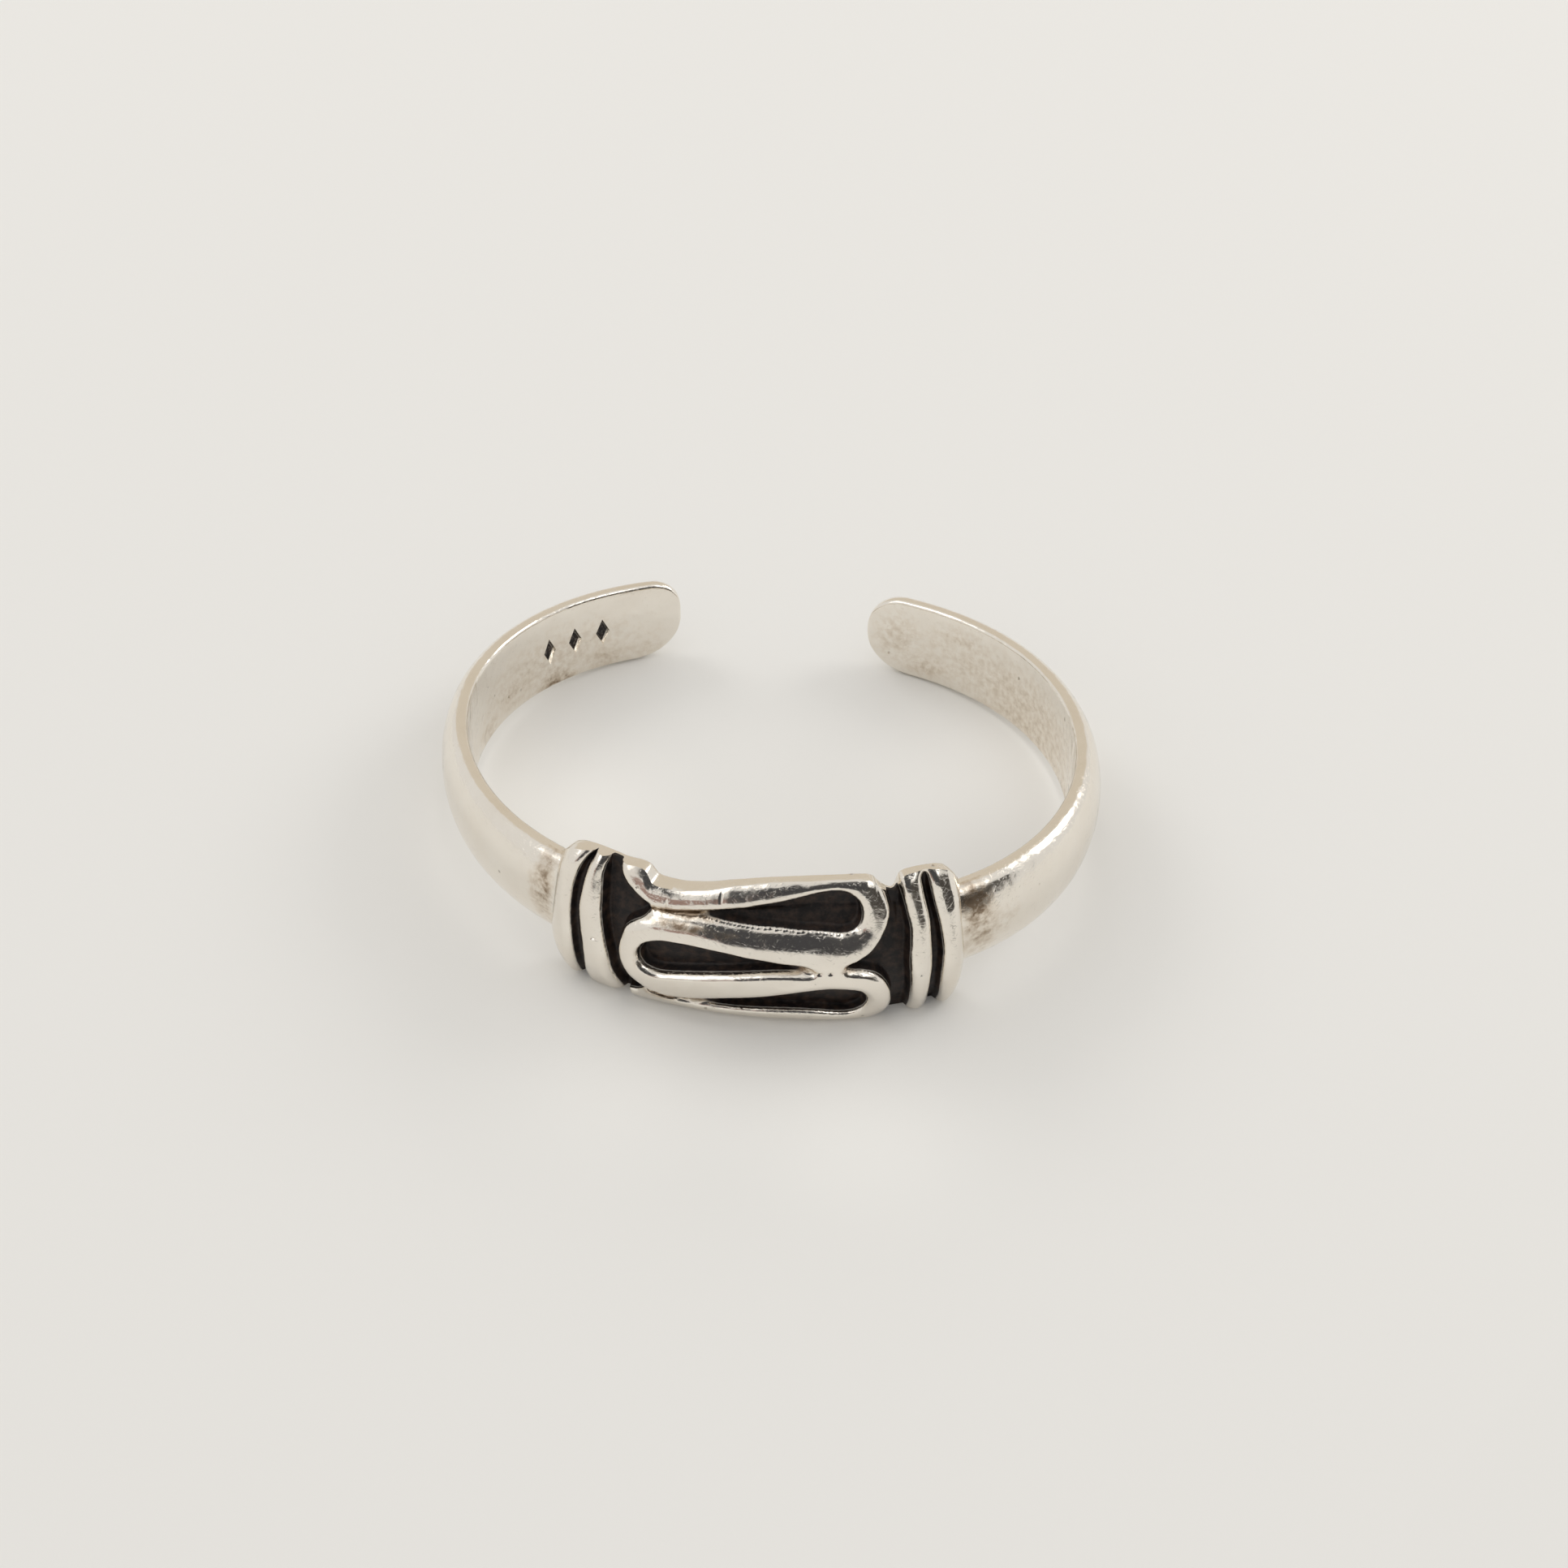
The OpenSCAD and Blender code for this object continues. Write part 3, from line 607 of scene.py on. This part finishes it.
def store(obj, name, kind, values):
    layer = obj.data.attributes.new(name, kind, "POINT")
    field = "vector" if kind == "FLOAT_VECTOR" else "value"
    layer.data.foreach_set(field, np.asarray(values, np.float32).ravel())


co = read(ring)
s, h, z = co[:, 0], -co[:, 1], co[:, 2]
on_panel = np.abs(s) < PANEL_HALF + 1e-3
height, cut = np.zeros(len(s)), np.zeros(len(s))
height[on_panel], cut[on_panel] = relief(s[on_panel], z[on_panel])
depth = np.where(on_panel & (np.abs(h - height) < SAME_FACE), cut, 0.0)
in_mark = ((np.abs(s[:, None] - marks_s).min(1) < MARK_W / 2) & (np.abs(z) < MARK_H / 2)
           & (np.abs(h - MARK_DEPTH) < MARK_DEPTH / 2))
depth[in_mark] = MARK_SHADE
stain = np.zeros(len(s))
for side, ss, sz, half_s, half_z, strength in stain_rows:
    right_side = (h > OUTSIDE_H) if side == "out" else (h < INSIDE_H)
    spot = strength * np.exp(-(((s - ss) / half_s) ** 2 + ((z - sz) / half_z) ** 2))
    stain = np.maximum(stain, np.where(right_side, spot, 0))
store(ring, "flat_place", "FLOAT_VECTOR", np.column_stack([s, z, h]))
store(ring, "depth", "FLOAT", depth)
store(ring, "stain", "FLOAT", stain)
print("deepest", round(float(depth.max()), 2), "mm")

# %% [markdown]
# ## Bending
# The strip, flat until now, is bent round the hollow, as a silversmith bends it round a mandrel, and
# laid down in the resting pose. The middle of its box is set over the middle of the solid's box.

# %% Bend the ring and lay it down
placed = (np.array(rest_turn.to_3x3()) @ bend(s, z, h).T).T
lowest = np.array(rest_turn.to_3x3() @ rests[0])[2]
cad_mid = (np.array(cad_box[0]) + np.array(cad_box[1])) / 2 / MM
shift = np.array([cad_mid[0] - (placed[:, 0].min() + placed[:, 0].max()) / 2,
                  cad_mid[1] - (placed[:, 1].min() + placed[:, 1].max()) / 2, -lowest])
write(ring, (placed + shift) * MM)
deselect_all()
ring.select_set(True)
bpy.context.view_layer.objects.active = ring
bpy.ops.object.shade_smooth_by_angle(angle=math.radians(45))
lowest_now = float(placed[:, 2].min() + shift[2])
print("laid down, shifted by", np.round(shift, 3), "mm, lowest point", round(lowest_now, 3))

# %% [markdown]
# ## The finish
# Sterling silver, cast, filed and polished by hand, then worn: bright, slightly warm, with fine
# scratches in all directions. The sunken places were blackened with liver of sulphur, which leaves a
# dull brown-black skin of silver sulphide, and a little brown tarnish has crept into the corners.

# %% A small node helper and the colours
def linear(hex_colour):
    channels = [int(hex_colour[i:i + 2], 16) / 255 for i in (0, 2, 4)]
    return tuple(c / 12.92 if c <= 0.04045 else ((c + 0.055) / 1.055) ** 2.4 for c in channels) + (1.0,)


def add(tree, kind, values=None, links=None, **settings):
    """Adds one node with its settings, its fixed input values and its incoming links."""
    made = tree.nodes.new("ShaderNode" + kind)
    for key, value in settings.items():
        setattr(made, key, value)
    for key, value in (values or {}).items():
        made.inputs[key].default_value = value
    for key, source in (links or {}).items():
        tree.links.new(source, made.inputs[key])
    return made


def new_material(name):
    material = bpy.data.materials.new(name)
    material.use_nodes = True
    material.node_tree.nodes.clear()
    return material


# %% [markdown]
# ## One material for the whole ring
# The finish is drawn on the flat places, so its pattern sizes are in millimetres and follow the metal
# round the bend. Depth decides where the black skin lies, the stain numbers where the brown lies, and
# noise breaks both up. Dents, pits and scratches tilt the surface a little, so that the mirrored room
# wavers as it does in silver that was worn for years.

# %% Worn sterling silver with sulphide in the recesses
silver = new_material("worn_sterling_silver")
tree = silver.node_tree
flat_place = add(tree, "Attribute", attribute_name="flat_place").outputs["Vector"]
depth_in = add(tree, "Attribute", attribute_name="depth").outputs["Fac"]
stain_in = add(tree, "Attribute", attribute_name="stain").outputs["Fac"]

cloud = add(tree, "TexNoise", {"Scale": 0.9, "Detail": 5.0, "Roughness": 0.6}, {"Vector": flat_place})
dents = add(tree, "TexNoise", {"Scale": 1.7, "Detail": 1.5, "Roughness": 0.5}, {"Vector": flat_place})
grain = add(tree, "TexNoise", {"Scale": 9.0, "Detail": 4.0, "Roughness": 0.65}, {"Vector": flat_place})
pits = add(tree, "TexVoronoi", {"Scale": 1.9, "Randomness": 1.0}, {"Vector": flat_place})

scratches = None
for turn, squash, seed in ((8, (0.5, 16, 16), 0.0), (38, (0.7, 20, 20), 3.0), (-47, (0.8, 22, 22), 7.0)):
    turned = add(tree, "Mapping", {"Rotation": (0, 0, math.radians(turn)), "Location": (seed, seed, 0)},
                 {"Vector": flat_place})
    drawn = add(tree, "Mapping", {"Scale": squash}, {"Vector": turned.outputs[0]})
    lines = add(tree, "TexNoise", {"Scale": 1.0, "Detail": 3.0, "Roughness": 0.55},
                {"Vector": drawn.outputs[0]})
    sharp = add(tree, "MapRange", {"From Min": 0.58, "From Max": 0.68, "To Min": 0.0, "To Max": 1.0},
                {"Value": lines.outputs["Fac"]})
    scratches = sharp.outputs[0] if scratches is None else add(
        tree, "Math", links={0: scratches, 1: sharp.outputs[0]}, operation="MAXIMUM").outputs[0]

dark_edge = add(tree, "Math", {1: 0.05}, {0: grain.outputs["Fac"]}, operation="MULTIPLY")
dark_depth = add(tree, "Math", links={0: depth_in, 1: dark_edge.outputs[0]}, operation="SUBTRACT")
dark = add(tree, "MapRange", {"From Min": 0.075, "From Max": 0.125},
           {"Value": dark_depth.outputs[0]}).outputs[0]

blotches = add(tree, "TexNoise", {"Scale": 4.5, "Detail": 4.0, "Roughness": 0.6}, {"Vector": flat_place})
patches = add(tree, "MapRange", {"From Min": 0.36, "From Max": 0.64, "To Min": 0.45, "To Max": 1.35},
              {"Value": blotches.outputs["Fac"]})
stain_sum = add(tree, "Math", links={0: stain_in, 1: patches.outputs[0]}, operation="MULTIPLY")
stained = add(tree, "MapRange", {"From Min": 0.15, "From Max": 1.05, "To Max": 0.85},
              {"Value": stain_sum.outputs[0]}).outputs[0]

bright = add(tree, "Mix", {6: linear("F7F3EB"), 7: linear("ECE4D8")}, {0: cloud.outputs["Fac"]},
             data_type="RGBA")
few = add(tree, "MapRange", {"From Min": 0.62, "From Max": 0.66}, {"Value": pits.outputs["Color"]})
spots = add(tree, "MapRange", {"From Min": 0.11, "From Max": 0.06}, {"Value": pits.outputs["Distance"]})
pitted = add(tree, "Math", links={0: spots.outputs[0], 1: few.outputs[0]}, operation="MULTIPLY").outputs[0]
pit_tint = add(tree, "Math", {1: 0.5}, {0: pitted}, operation="MULTIPLY")
specked = add(tree, "Mix", {7: linear("8C7B66")}, {0: pit_tint.outputs[0], 6: bright.outputs[2]},
              data_type="RGBA")
brown = add(tree, "Mix", {6: linear("C2A273"), 7: linear("644A30")}, {0: stained}, data_type="RGBA")
browned = add(tree, "Mix", links={0: stained, 6: specked.outputs[2], 7: brown.outputs[2]}, data_type="RGBA")
lifted = add(tree, "MapRange", {"From Min": 0.42, "From Max": 0.72}, {"Value": blotches.outputs["Fac"]})
black = add(tree, "Mix", {6: linear("130D0D"), 7: linear("3A2B22")}, {0: lifted.outputs[0]}, data_type="RGBA")
colour = add(tree, "Mix", links={0: dark, 6: browned.outputs[2], 7: black.outputs[2]}, data_type="RGBA")

worn = add(tree, "MapRange", {"From Min": 0.3, "From Max": 0.75, "To Min": 0.09, "To Max": 0.20},
           {"Value": cloud.outputs["Fac"]})
stain_rough = add(tree, "Math", {1: 0.25}, {0: stained, 2: worn.outputs[0]}, operation="MULTIPLY_ADD")
rough = add(tree, "Mix", {3: 0.5}, {0: dark, 2: stain_rough.outputs[0]})
metal = add(tree, "MapRange", {"To Min": 1.0, "To Max": 0.0}, {"Value": dark})
sheen = add(tree, "MapRange", {"To Min": 0.5, "To Max": 0.35}, {"Value": dark})

# Heights for the bump in hundredths of a millimetre: wide dents, pits, grain, and fine scratches cut in.
bump_dents = add(tree, "Math", {1: 3.8}, {0: dents.outputs["Fac"]}, operation="MULTIPLY")
bump_pits = add(tree, "Math", {1: -1.2}, {0: pitted, 2: bump_dents.outputs[0]}, operation="MULTIPLY_ADD")
bump_gain = add(tree, "Math", {1: 0.8}, {0: dark, 2: scratches}, operation="MULTIPLY_ADD")
bump_grain = add(tree, "Math", links={0: grain.outputs["Fac"], 1: bump_gain.outputs[0],
                                      2: bump_pits.outputs[0]}, operation="MULTIPLY_ADD")
scored = add(tree, "Math", {1: -0.4}, {0: scratches, 2: bump_grain.outputs[0]}, operation="MULTIPLY_ADD")
bump = add(tree, "Bump", {"Strength": 1.0, "Distance": 0.00001}, {"Height": scored.outputs[0]})
shader = add(tree, "BsdfPrincipled", links={
    "Base Color": colour.outputs[2], "Roughness": rough.outputs[0], "Metallic": metal.outputs[0],
    "Specular IOR Level": sheen.outputs[0], "Normal": bump.outputs[0]})
add(tree, "OutputMaterial", links={"Surface": shader.outputs[0]})
ring.data.materials.clear()
ring.data.materials.append(silver)

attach(ring, "root")
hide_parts("toe_ring")
print("material", silver.name, "with", len(tree.nodes), "nodes")

# %% [markdown]
# ## Floor, light and camera
# The ring lies on a plain pale surface under soft daylight from both sides. Polished silver shows
# little of itself and much of the room, so the room matters as much as the metal. The floor is a matt
# sheet of card, a little warmer than grey.

# %% Floor
deselect_all()
bpy.ops.mesh.primitive_plane_add(size=3.0)
floor = bpy.context.object
floor.name = "floor"
paper = new_material("pale_matt_card")
tree = paper.node_tree
tone = add(tree, "BsdfPrincipled", {"Base Color": linear("F0EFEC"), "Roughness": 0.8,
                                    "Specular IOR Level": 0.2})
add(tree, "OutputMaterial", links={"Surface": tone.outputs[0]})
floor.data.materials.append(paper)
print("floor of", paper.name)

# %% [markdown]
# ## Sky, windows and the light the ring throws
# An even sky does most of the work. Two large soft lights behind the ring draw its soft shadows
# forward.

# %% Sky and soft lights
world = bpy.data.worlds.new("studio")
bpy.context.scene.world = world
world.use_nodes = True
world.node_tree.nodes.clear()
sky = add(world.node_tree, "Background", {"Color": linear("F6F4F1"), "Strength": 0.83})
add(world.node_tree, "OutputWorld", links={"Surface": sky.outputs[0]})
bpy.context.scene.view_settings.view_transform = "Standard"


def soft_light(name, place, aim, size, power, tint):
    lamp = bpy.data.lights.new(name, "AREA")
    lamp.shape, lamp.size, lamp.energy, lamp.color = "DISK", size * MM, power, linear(tint)[:3]
    obj = bpy.data.objects.new(name, lamp)
    bpy.context.scene.collection.objects.link(obj)
    place, aim = Vector(place) * MM, Vector(aim) * MM
    obj.location = place
    obj.rotation_euler = (aim - place).to_track_quat("-Z", "Y").to_euler()
    return obj


soft_light("window_left", (-170, 150, 170), (0, 0, 0), 130, 0.098, "FFFEFC").visible_glossy = False
soft_light("window_right", (190, 90, 130), (0, 0, 0), 120, 0.088, "FFFEFC")


def bounce(name, x, y, radius, power, height=14):
    """A pool of light on the floor, as polished silver throws it there. The silver doesn't mirror it."""
    lamp = bpy.data.lights.new(name, "SPOT")
    lamp.spot_size, lamp.spot_blend, lamp.shadow_soft_size = 2 * math.atan(radius / height), 1.0, 2 * MM
    lamp.energy, lamp.color = power, linear("FFFCF6")[:3]
    obj = bpy.data.objects.new(name, lamp)
    bpy.context.scene.collection.objects.link(obj)
    obj.location = Vector((x, y, height)) * MM
    obj.visible_glossy = False


pools = {"left": (-6.6, 0.2, 4.2, 0.0010), "right": (6.6, 2.4, 4.2, 0.0010),
         "front_left": (-3.6, -9.0, 4.0, 0.0008), "front_right": (2.6, -10.2, 4.0, 0.0008)}
for where, (x, y, radius, power) in pools.items():
    bounce("bounce_" + where, x, y, radius, power)
print("two windows and", len(pools), "pools of light")

# %% [markdown]
# ## The camera
# The camera's place was found by fitting the ring's outline to the picture. It is given over the
# ring's own middle, upright, and is then laid down with the ring.

# %% Camera
LENS_MM, SENSOR_MM = 51.69, 36.0
CAMERA_ELEV, CAMERA_ROLL, CAMERA_FAR = 37.5, 1.0344, 63.0955
AIM = Vector((0.415, -1.046, 0))
elev = math.radians(CAMERA_ELEV)
back = Vector((0, -math.cos(elev), math.sin(elev)))
right = Vector((1, 0, 0))
up = back.cross(right)
axes = Matrix((right, up, back)).transposed().to_4x4()
camera_data = bpy.data.cameras.new("camera")
camera_data.lens, camera_data.sensor_width, camera_data.sensor_fit = LENS_MM, SENSOR_MM, "HORIZONTAL"
camera_data.clip_start, camera_data.clip_end = 0.001, 10
camera = bpy.data.objects.new("camera", camera_data)
bpy.context.scene.collection.objects.link(camera)
lie_down = Matrix.Translation(Vector(shift)) @ rest_turn
roll = Matrix.Rotation(math.radians(CAMERA_ROLL), 4, "Z")
upright = Matrix.Translation(AIM + back * CAMERA_FAR) @ axes @ roll
world_place = lie_down @ upright
world_place.translation *= MM
camera.matrix_world = world_place
bpy.context.scene.camera = camera
print("camera at", [round(v / MM, 1) for v in world_place.translation], "mm")

# %% [markdown]
# ## Cards for the silver to mirror
# Studios set up cards to draw the shape of a shiny thing. The parts of the strip that look up towards
# the camera mirror the dark card round it, the right ribs get a painted dark reflection from a dark sheet
# laid on the floor, the left end of the upper strip mirrors the rosy card, and two bright cards make the
# white glints. The wall behind warms the inside of the band. Only reflections see them.

# %% Cards that only the silver mirrors
def mirrored_card(name, corners, tint, strength):
    """A flat card seen in reflections only, its four corners given in metres going round."""
    deselect_all()
    bpy.ops.mesh.primitive_plane_add(size=1.0)
    card = bpy.context.object
    card.name = name
    write(card, [corners[i] for i in (0, 1, 3, 2)])
    cloth = new_material(name + "_cloth")
    glow = add(cloth.node_tree, "Emission", {"Color": linear(tint), "Strength": strength})
    add(cloth.node_tree, "OutputMaterial", links={"Surface": glow.outputs[0]})
    card.data.materials.append(cloth)
    card.visible_camera = card.visible_diffuse = card.visible_shadow = card.visible_transmission = False


def beside_camera(corners, behind):
    return [camera.matrix_world @ (Vector((x, y, behind)) * MM) for x, y in corners]


def facing_ring(way, distance, half):
    """Corners of a square that faces the ring from the given direction."""
    place = Vector(way).normalized() * distance
    turn = place.to_track_quat("Z", "Y").to_matrix()
    return [(place + turn @ Vector((x * half, y * half, 0))) * MM
            for x, y in ((-1, -1), (1, -1), (1, 1), (-1, 1))]


beside_lens = {
    "dark_card": ([(-28, -55.5), (24, -55.5), (40, 22), (-30, 12)], 3, "454547"),
    "dark_card_right": ([(24, -62), (170, -62), (170, 30), (34, -6)], 4, "4A4744"),
    "rosy_card": ([(-52, -50), (-28, -55), (-29, -24), (-60, -24)], 3, "9A827A")}
for name, (corners, behind, tint) in beside_lens.items():
    mirrored_card(name, beside_camera(corners, behind), tint, 1.0)
# A dark sheet just over the floor that only reflections see: it paints a dark reflection on the right ribs.
SHEET_LIFT = 0.05
dark_sheet = [Vector((x, y, SHEET_LIFT)) * MM for x, y in ((14, -22), (22, -14), (160, -90), (30, -90))]
mirrored_card("dark_reflection_sheet", dark_sheet, "454240", 1.0)
mirrored_card("bright_card_left", facing_ring((-0.59, -0.27, 0.75), 140, 34), "FFFFFF", 1.9)
mirrored_card("bright_card_right", facing_ring((0.55, -0.33, 0.78), 140, 30), "FFFFFF", 1.9)
mirrored_card("wall_behind", facing_ring((0, 0.8, 0.6), 330, 230), "D5CCBE", 1.0)
print(len(beside_lens), "cards by the lens, a mat, two bright cards and a wall behind")
